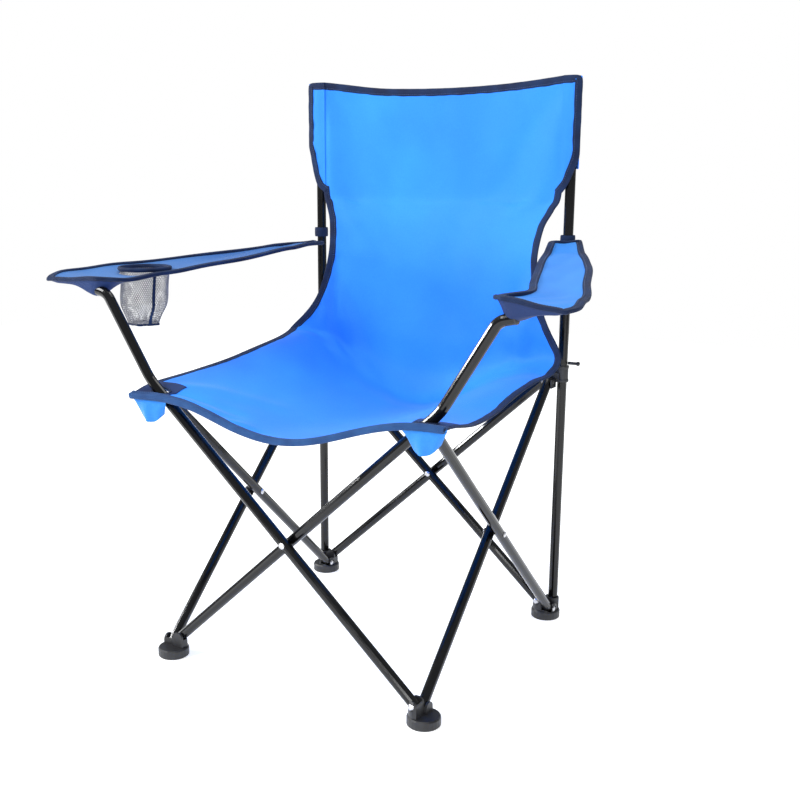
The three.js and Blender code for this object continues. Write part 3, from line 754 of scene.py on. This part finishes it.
def pocket_points(side, sign):
    """Grid of the pocket's cloth: down its rows, and round its plan along its columns."""
    outline = POCKET_PLAN[side]
    plan = catmull(outline, np.linspace(0, 1, (len(outline) - 1) * POCKET_FINE + 1)) * 0.001
    outer = POCKET_EDGE * POCKET_FINE
    top = SLEEVE_TOP + POCKET_TOP[side]
    across = (plan[:, 0] - plan[0, 0]) / (plan[outer, 0] - plan[0, 0])
    front = catmull([[z] for z in POCKET_HEM[side]], np.clip(across, 0, 1))[:, 0]
    column = np.arange(len(plan))
    behind = smoothstep(0, 5, column - outer)
    hem = front + (SLEEVE_LOW + POCKET_REAR_HEM - front) * behind
    front_y = np.interp(plan[:, 0], plan[: outer + 1, 0], plan[: outer + 1, 1])
    ridge = np.column_stack([plan[:, 0], front_y + 0.0004])
    rows = []
    for share in np.concatenate([np.linspace(0, 1, 6)[:-1] * 0.02, np.linspace(0.02, 1, 60)]):
        z = top - share * (top - hem)
        closing = np.clip((z - (top - POCKET_ROOF)) / POCKET_ROOF, 0, 1)[:, None] ** 1.5
        pucker = 1 + 0.025 * np.sin(z * 210 + sign)[:, None] * np.sin(z * 83)[:, None]
        flat = plan * np.where(column[:, None] > outer - 12, pucker, 1)
        flat = flat + (ridge - flat) * closing
        x, y = POST[side].x + sign * flat[:, 0], POST[side].y + flat[:, 1]
        rows.append(np.column_stack([x, y, z]))
    return np.array(rows), outer


def pocket_tape_path(points, outer):
    """The tape's path: along the closed top, down the outer edge and in along the front hem."""
    top, edge, hem = points[0, : outer + 1], points[:, outer], points[-1, outer::-1]
    edge_into = unit(points[:, outer - 6] - edge)
    hem_into = unit(points[-6, outer::-1] - hem)
    path = np.concatenate([top[:-1], edge[3:-1], hem[1:]])
    inward = np.concatenate([-upward(outer), edge_into[3:-1], hem_into[1:]])
    path, inward = resample(path, 0.003, inward)
    for _ in range(3):
        for line in (path, inward):
            line[1:-1] = (line[:-2] + 2 * line[1:-1] + line[2:]) / 4
    along = unit(np.gradient(path, axis=0))
    inward = unit(inward - along * (inward * along).sum(-1, keepdims=True))
    forward = unit(np.cross(along, inward))
    return path, inward, forward * np.sign(-forward[:, 1:2])


def build_sleeves():
    """The back's cloth runs on round each upright as a closed pocket, bound down its outer edge."""
    for side, sign in SIDES:
        points, outer = pocket_points(side, sign)
        grid = points[::-1] if sign > 0 else points
        piece = dress(shell(f"back_pocket_{side}", grid, THIN_CLOTH), BLUE)
        extras = list(bind(f"back_pocket_tape_{side}", [pocket_tape_path(points, outer)], NAVY))
        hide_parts(f"back_sleeve_{side}")
        set_moving([piece, *extras], f"rear_{side}_post")


# ---- armrests ----
# Rows of each armrest from the back to the front: its inner edge's X and Y, then its outer edge's.
ARM_ROWS = {
    "left": [
        (0.2100, 0.211, 0.2340, 0.211), (0.2180, 0.150, 0.2560, 0.150), (0.2230, 0.110, 0.2740, 0.110),
        (0.2360, 0.010, 0.3180, 0.010), (0.2560, -0.075, 0.3660, -0.075), (0.2700, -0.130, 0.3980, -0.128),
        (0.2810, -0.174, 0.4150, -0.176), (0.2900, -0.207, 0.4210, -0.204), (0.3080, -0.231, 0.4080, -0.227),
    ],
    "right": [
        (0.2040, 0.190, 0.2400, 0.222), (0.2180, 0.130, 0.2705, 0.160), (0.2380, 0.064, 0.2985, 0.100),
        (0.2610, -0.004, 0.3220, 0.043), (0.2850, -0.075, 0.3510, -0.045), (0.3060, -0.138, 0.3780, -0.118),
        (0.2860, -0.174, 0.3860, -0.156), (0.2890, -0.194, 0.3910, -0.187), (0.3080, -0.217, 0.3840, -0.213),
    ],
}
ARM_REAR_X, ARM_REAR_Y = 0.222, 0.211       # the armrest's rear end, at the upright
ARM_REAR_Z = {"left": 0.5895, "right": 0.592}
ARM_SLOPE = 0.083                           # how it falls towards the front
ARM_SPREAD = 0.32                           # how its middle line leaves the upright's X
ARM_ROLL = {"left": 0.035, "right": -0.04}  # how it rises from its middle line outward
ARM_CLOTH = 0.0024
# how the armrest shortens as the chair folds: from its rear end, along itself, to this share
ARM_ANCHOR, ARM_ALONG, ARM_KEEP = (0.222, 0.212, 0.592), (0.100, -0.416, -0.036), 0.4529
LOOP_Z, LOOP_R = 0.6040, 0.0098


def armrest_level(side, x, y):
    """Height of an armrest's middle surface."""
    ahead = ARM_REAR_Y - y
    outward = x - ARM_REAR_X - ARM_SPREAD * ahead
    return ARM_REAR_Z[side] - ARM_SLOPE * ahead + ARM_ROLL[side] * outward


def armrest_points(side, sign, rows=110, columns=29, low=0.0, high=1.0, inset=0.0):
    """Grid over an armrest between two shares of its length, inset by a share of its width."""
    a, b = np.meshgrid(np.linspace(inset, 1 - inset, columns), np.linspace(low, high, rows))
    inner_x, inner_y, outer_x, outer_y = np.moveaxis(catmull(ARM_ROWS[side], b), -1, 0)
    x, y = inner_x + (outer_x - inner_x) * a, inner_y + (outer_y - inner_y) * a
    z = armrest_level(side, x, y) - 0.004 * np.sin(np.pi * a) * np.sin(np.pi * np.clip(b, 0, 1))
    z = z + 0.0006 * np.sin(31 * b + 9 * a)
    # the front curls up at its inner corner, and the rear end turns towards the loop
    z = z + (0.007 * (1 - a) - 0.003 * a) * smoothstep(0.80, 1.0, b)
    z = z + (0.010 if sign > 0 else -0.003) * smoothstep(0.10, 0.0, b)
    return np.stack([sign * x, y + SHIFT_Y, z], axis=-1)


def build_armrests():
    """Both armrests, with their tape, pocket and loop, and the cup holder in the left one."""
    for side, sign in SIDES:
        points = armrest_points(side, sign)[::-1]
        if sign < 0:
            points = points[:, ::-1]
        piece = shell(f"armrest_cloth_{side}", points, ARM_CLOTH)
        if side == "left":
            cut(piece, [cylinder(CUP, UP, CUP_R - 0.002, 0.1, 64)])
        # the left armrest takes the darker copy of its cloth, painted shade
        dress(piece, ARM_BLUE_AND_PAINTED_SHADE[side])
        rim = np.concatenate([points[0, :-1], points[:-1, -1], points[-1, :0:-1], points[:0:-1, 0]])
        middle_point = points.reshape(-1, 3).mean(0)
        extras = [*bind_ring(f"armrest_binding_{side}", rim, middle_point), arm_pocket(side, sign)]
        if side == "left":
            extras += build_cup()
        loop = post_loop(side)
        x, y, z = ARM_ANCHOR
        gather = {"anchor": (sign * x, y + SHIFT_Y, z), "keep": ARM_KEEP}
        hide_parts(f"armrest_{side}")
        set_moving([piece, *extras], f"{side}_armrest", gather)
        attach(loop, f"rear_{side}_post")


def bind_ring(name, path, centre):
    """Tape all round a closed edge that lies nearly flat."""
    closed = np.concatenate([path, path[:1]])
    at = resample(closed, TAPE_STEP)[0][:-1]
    along = unit(np.roll(at, -1, axis=0) - np.roll(at, 1, axis=0))
    into = unit(np.cross(upward(len(at)), along))
    if ((centre - at) * into).sum() < 0:
        into = -into
    into = unit(into + np.roll(into, 1, axis=0) + np.roll(into, -1, axis=0))
    up = unit(np.cross(along, into))
    up *= np.sign(up[:, 2:3])
    profile = tape_profile(0.0085, 0.0052, 0.002)
    tape = dress(sweep(name, at, into, up, profile, closed=True), NAVY)
    lines = []
    for face in (1, -1):
        line = at + into * 0.0062 + up * face * 0.0026
        lines.append((np.concatenate([line, line[:1]]), np.concatenate([up, up[:1]]) * face))
    return tape, sew(f"{name}_stitches", lines)


def arm_pocket(side, sign):
    """The pocket under the armrest's front, which the tip of the arm tube pushes into."""
    tip = middle(f"arm_plug_{side}")
    rows, columns = 21, 25
    grid = armrest_points(side, sign, rows, columns, 0.80, 0.995, 0.04)
    a, b = np.meshgrid(np.linspace(0, 1, columns), np.linspace(0, 1, rows))
    edge = np.minimum(1, np.minimum(a, 1 - a) / 0.14) * np.minimum(1, (1 - b) / 0.06)
    edge = edge * np.minimum(1, b / 0.1 + 0.3)
    near_x = np.exp(-(((grid[..., 0] - tip.x) / 0.030) ** 2))
    near_y = np.exp(-(((grid[..., 1] - tip.y) / 0.021) ** 2))
    grid[..., 2] -= 0.0026 + 0.003 * edge + 0.018 * near_x * near_y * np.minimum(1, edge * 1.6)
    grid = grid if sign < 0 else grid[:, ::-1]
    return dress(shell(f"armrest_pocket_{side}", grid, THIN_CLOTH), PATCH_BLUE)


def post_loop(side):
    """The tape loop at the armrest's rear end, round the upright."""
    centre = np.array([POST[side].x, POST[side].y - 0.0012, LOOP_Z])
    path = circle(centre, LOOP_R, 48)
    band = [(0.0009, -0.0075), (0.0014, -0.005), (0.0015, 0.0), (0.0014, 0.005), (0.0009, 0.0075),
            (-0.0006, 0.0075), (-0.0009, 0.0), (-0.0006, -0.0075)]
    loop = sweep(f"armrest_loop_{side}", path, unit(path - centre), upward(48), band, closed=True)
    return dress(loop, NAVY)


# ---- the cup holder ----
CUP_TOP_R, CUP_FOOT_R = CUP_R - 0.0040, 0.021       # of the bag, at its top and where it closes
CUP_LEAN = 0.006                                    # how far the foot hangs towards the chair's outside
NET_THREAD = oval(0.00033, 0.00033, 4)
SEAM_ANGLE = -0.45


def cup_wall(angle, share):
    """A point of the mesh bag: round at the ring, drawn in and crumpled towards its foot."""
    depth = (CUP.z - 0.002 - CUP_FLOOR) * 1.05
    drawn_in = (CUP_TOP_R - 0.003 - CUP_FOOT_R) * smoothstep(0.60, 1.0, share)
    radius = CUP_TOP_R - 0.003 * share - drawn_in
    crumple = 0.0016 * np.sin(5 * angle + 1.1) + 0.0012 * np.sin(9 * angle + 6 * share)
    crumple = share * (crumple + 0.001 * np.sin(14 * share + 2 * angle))
    radius = np.minimum(radius + crumple, CUP_TOP_R)
    return np.stack([CUP.x - CUP_LEAN * share + np.cos(angle) * radius,
                     CUP.y + np.sin(angle) * radius, CUP.z - 0.002 - depth * share], axis=-1)


def net_threads():
    """Threads that wind both ways down the bag's wall, and cross over its floor."""
    threads = []
    foot_r, strands = 0.022, 76
    share = np.linspace(0, 1, 30)
    for way in (1, -1):
        for start in turns(strands):
            line = cup_wall(start + way * share * 1.15, share)
            along = unit(np.gradient(line, axis=0))
            outward = unit((line - np.array(CUP)) * np.array([1, 1, 0]))
            threads.append(sweep("t", line, outward, np.cross(along, outward), NET_THREAD))
    for k in range(-6, 7):
        off = k * foot_r / 6.5
        half = math.sqrt(foot_r**2 - off**2)
        for turn in (0, 1):
            line = np.array([(off, q * half) if turn else (q * half, off)
                             for q in np.linspace(-1, 1, 12)])
            z = CUP_FLOOR - 0.0030 + 0.0008 * turn
            z = z + 0.0012 * np.sin(line[:, 0] * 300) * np.sin(line[:, 1] * 260)
            line = np.column_stack([line[:, 0] + CUP.x - CUP_LEAN, line[:, 1] + CUP.y, z])
            along = unit(np.gradient(line, axis=0))
            threads.append(sweep("t", line, upward(12), np.cross(along, upward(12)), NET_THREAD))
    return threads


def bag_seams():
    """The tape down the bag's side seam, and the one round its foot."""
    outward = np.array([math.cos(SEAM_ANGLE), math.sin(SEAM_ANGLE), 0.0])
    line = cup_wall(np.full(40, SEAM_ANGLE), np.linspace(0, 1, 40)) + outward * 0.0006
    strip = [(0.0006, -0.0022), (0.0008, 0), (0.0006, 0.0022), (-0.0005, 0.0022), (-0.0005, -0.0022)]
    sideways = np.cross(UP, outward)
    seam = sweep("t", line, np.tile(outward, (40, 1)), np.tile(sideways, (40, 1)), strip)
    hem = cup_wall(turns(48), np.full(48, 0.985))
    away = unit(hem - np.array([CUP.x, CUP.y, hem[0, 2]]))
    band = [(0.0010, -0.0016), (0.0012, 0.0), (0.0010, 0.0016), (-0.0006, 0.0016), (-0.0006, -0.0016)]
    return [seam, sweep("t", hem, away, upward(48), band, closed=True)]


def build_cup():
    """The bound ring and the bag of grey net that hangs from it."""
    centre = np.array([CUP.x, CUP.y, CUP.z + 0.0005])
    path = circle(centre, CUP_R - 0.0026, 96)
    fat = 1 + 0.05 * np.sin(turns(96) * 17)
    out = unit(path - centre) * fat[:, None]
    ring = sweep("cup_ring_cover", path, out, upward(96), oval(0.0026, 0.0032, 12), closed=True)
    dress(ring, NAVY)
    net = dress(join("cup_net", net_threads()), NET)
    seams = dress(join("cup_net_seams", bag_seams()), NAVY)
    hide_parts("cup_ring")
    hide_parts("cup_mesh")
    return [ring, net, seams]


# ---- cloth that wraps the front corners, and the pins at the sliders ----
FLAP_HALF, FLAP_DEEP = 0.033, 0.036
FLAP_TOP = ([0.15, 0.19, 0.235, 0.26], [0.402, 0.4045, 0.408, 0.406])    # its height along X
FLAP_LOWER = {"left": 0.008, "right": 0.0}


def build_flaps():
    """The rounded cloth flap at each front corner."""
    for side, _ in SIDES:
        low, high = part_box(f"corner_flap_{side}")
        a, b = np.meshgrid(np.linspace(-1, 1, 41), np.linspace(0, 1, 25))
        x = (low[0] + high[0]) / 2 + a * (FLAP_HALF * (1 - 0.42 * b))
        bulge = 0.0035 * np.sin(np.pi * b) * np.cos(a * 1.5) + 0.0022 * np.sin(7 * a + 2) * b
        y = low[1] - 0.0015 - bulge + 0.012 * np.abs(a) ** 3 * b
        deep = FLAP_DEEP * (1 - np.abs(a) ** 3 * 0.35)
        z = np.interp(np.abs(x), *FLAP_TOP) - deep * b - FLAP_LOWER[side]
        grid = np.stack([x, y, z], axis=-1)
        piece = shell(f"corner_flap_cloth_{side}", grid[::-1])
        dress(piece, ARM_BLUE_AND_PAINTED_SHADE["right"])
        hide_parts(f"corner_flap_{side}")
        hem = grid[-1] + np.array([0, -0.0008, 0.0045])
        line = (hem, np.tile(np.array([0, -1.0, 0]), (len(hem), 1)))
        thread = sew(f"corner_flap_stitches_{side}", [line])
        set_moving([piece, thread], f"front_{side}_corner")


# the pin's outline: distance outward from the upright's axis, and radius
PIN = [(0.0088, 0.0024), (0.016, 0.0024), (0.0225, 0.0023), (0.0232, 0.0033), (0.0262, 0.0034),
       (0.0272, 0.0022), (0.0274, 0.0004)]


def build_slider_pins():
    """The headed pin that holds the seat's rear corner to each slider."""
    sides = 16
    for side, sign in SIDES:
        centre = POST[side]
        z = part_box(f"slider_{side}")[1][2] + 0.0046
        points = [(centre.x + sign * x, centre.y + math.cos(q) * r, z + math.sin(q) * r)
                  for x, r in PIN for q in turns(sides)]
        faces = grid_faces(len(PIN), sides, around=True, flip=sign < 0)
        ends = [list(range(sides))[::-1], [(len(PIN) - 1) * sides + i for i in range(sides)]]
        faces += [end[::sign] for end in ends]
        pin = dress(new_piece(f"slider_pin_{side}", points, faces), PLASTIC)
        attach(pin, f"{side}_slider")


# ---- stage ----
FLOOR_HALF = 3.2
# lights: name, place, aim, power and size
LIGHTS = (
    ("key", (-2.2, -2.6, 3.0), (0, 0, 0.5), 130, 1.5),
    ("front", (1.9, -3.2, 1.6), (0, 0, 0.45), 55, 1.2),
    ("top", (0.2, 0.6, 3.4), (0, 0, 0.4), 60, 2.2),
    ("strip", (-2.6, -0.6, 1.2), (0, 0, 0.5), 30, 0.4),
)


def build_floor():
    """A pale floor that fades into the white behind the chair."""
    mesh = bpy.data.meshes.new("floor")
    corners = [(x * FLOOR_HALF, y * FLOOR_HALF, 0) for x, y in ((-1, -1), (1, -1), (1, 1), (-1, 1))]
    mesh.from_pydata(corners, [], [[0, 1, 2, 3]])
    floor = put("floor", mesh)
    made = Finish("floor_finish", roughness=0.75, specular=0.2)
    made.color(made.ramp(made.noise(3.0, 2.0), [(0.3, (0.86, 0.87, 0.88)), (0.7, (0.89, 0.90, 0.90))]))
    made.shader.inputs["Emission Color"].default_value = (1, 1, 1, 1)
    made.shader.inputs["Emission Strength"].default_value = 0.62
    mesh.materials.append(made.material)


def build_world():
    """White where the camera sees it, and a softer, cooler light on the chair."""
    world = bpy.data.worlds.new("studio")
    bpy.context.scene.world = world
    world.use_nodes = True
    nodes, links = world.node_tree.nodes, world.node_tree.links
    lit, seen = nodes["Background"], nodes.new("ShaderNodeBackground")
    lit.inputs["Color"].default_value = (0.93, 0.96, 1.0, 1)
    lit.inputs["Strength"].default_value = 0.42
    seen.inputs["Color"].default_value = (1, 1, 1, 1)
    ray, mixed = nodes.new("ShaderNodeLightPath"), nodes.new("ShaderNodeMixShader")
    links.new(ray.outputs["Is Camera Ray"], mixed.inputs[0])
    links.new(lit.outputs[0], mixed.inputs[1])
    links.new(seen.outputs[0], mixed.inputs[2])
    links.new(mixed.outputs[0], nodes["World Output"].inputs["Surface"])


def build_stage():
    """The floor, the world, the lights and the camera."""
    build_floor()
    build_world()
    for name, place, aim, power, size in LIGHTS:
        light = bpy.data.lights.new(name, "AREA")
        light.energy, light.size = power, size
        lamp = put(name, light)
        lamp.location = place
        lamp.rotation_euler = (Vector(aim) - Vector(place)).to_track_quat("-Z", "Y").to_euler()
    camera = bpy.data.cameras.new("camera")
    camera.lens, camera.sensor_width = 50.1, 36.0
    camera.shift_x, camera.shift_y = 0.0410, 0.052
    eye = put("camera", camera)
    eye.location = (0.8275, -1.3968, 0.7126)
    eye.rotation_euler = (math.radians(76.09), 0, math.radians(30.67))
    bpy.context.scene.camera = eye
    bpy.context.scene.view_settings.view_transform = "Standard"


build_stage()
dress_frame()
build_sling()
build_sleeves()
build_armrests()
build_flaps()
build_slider_pins()
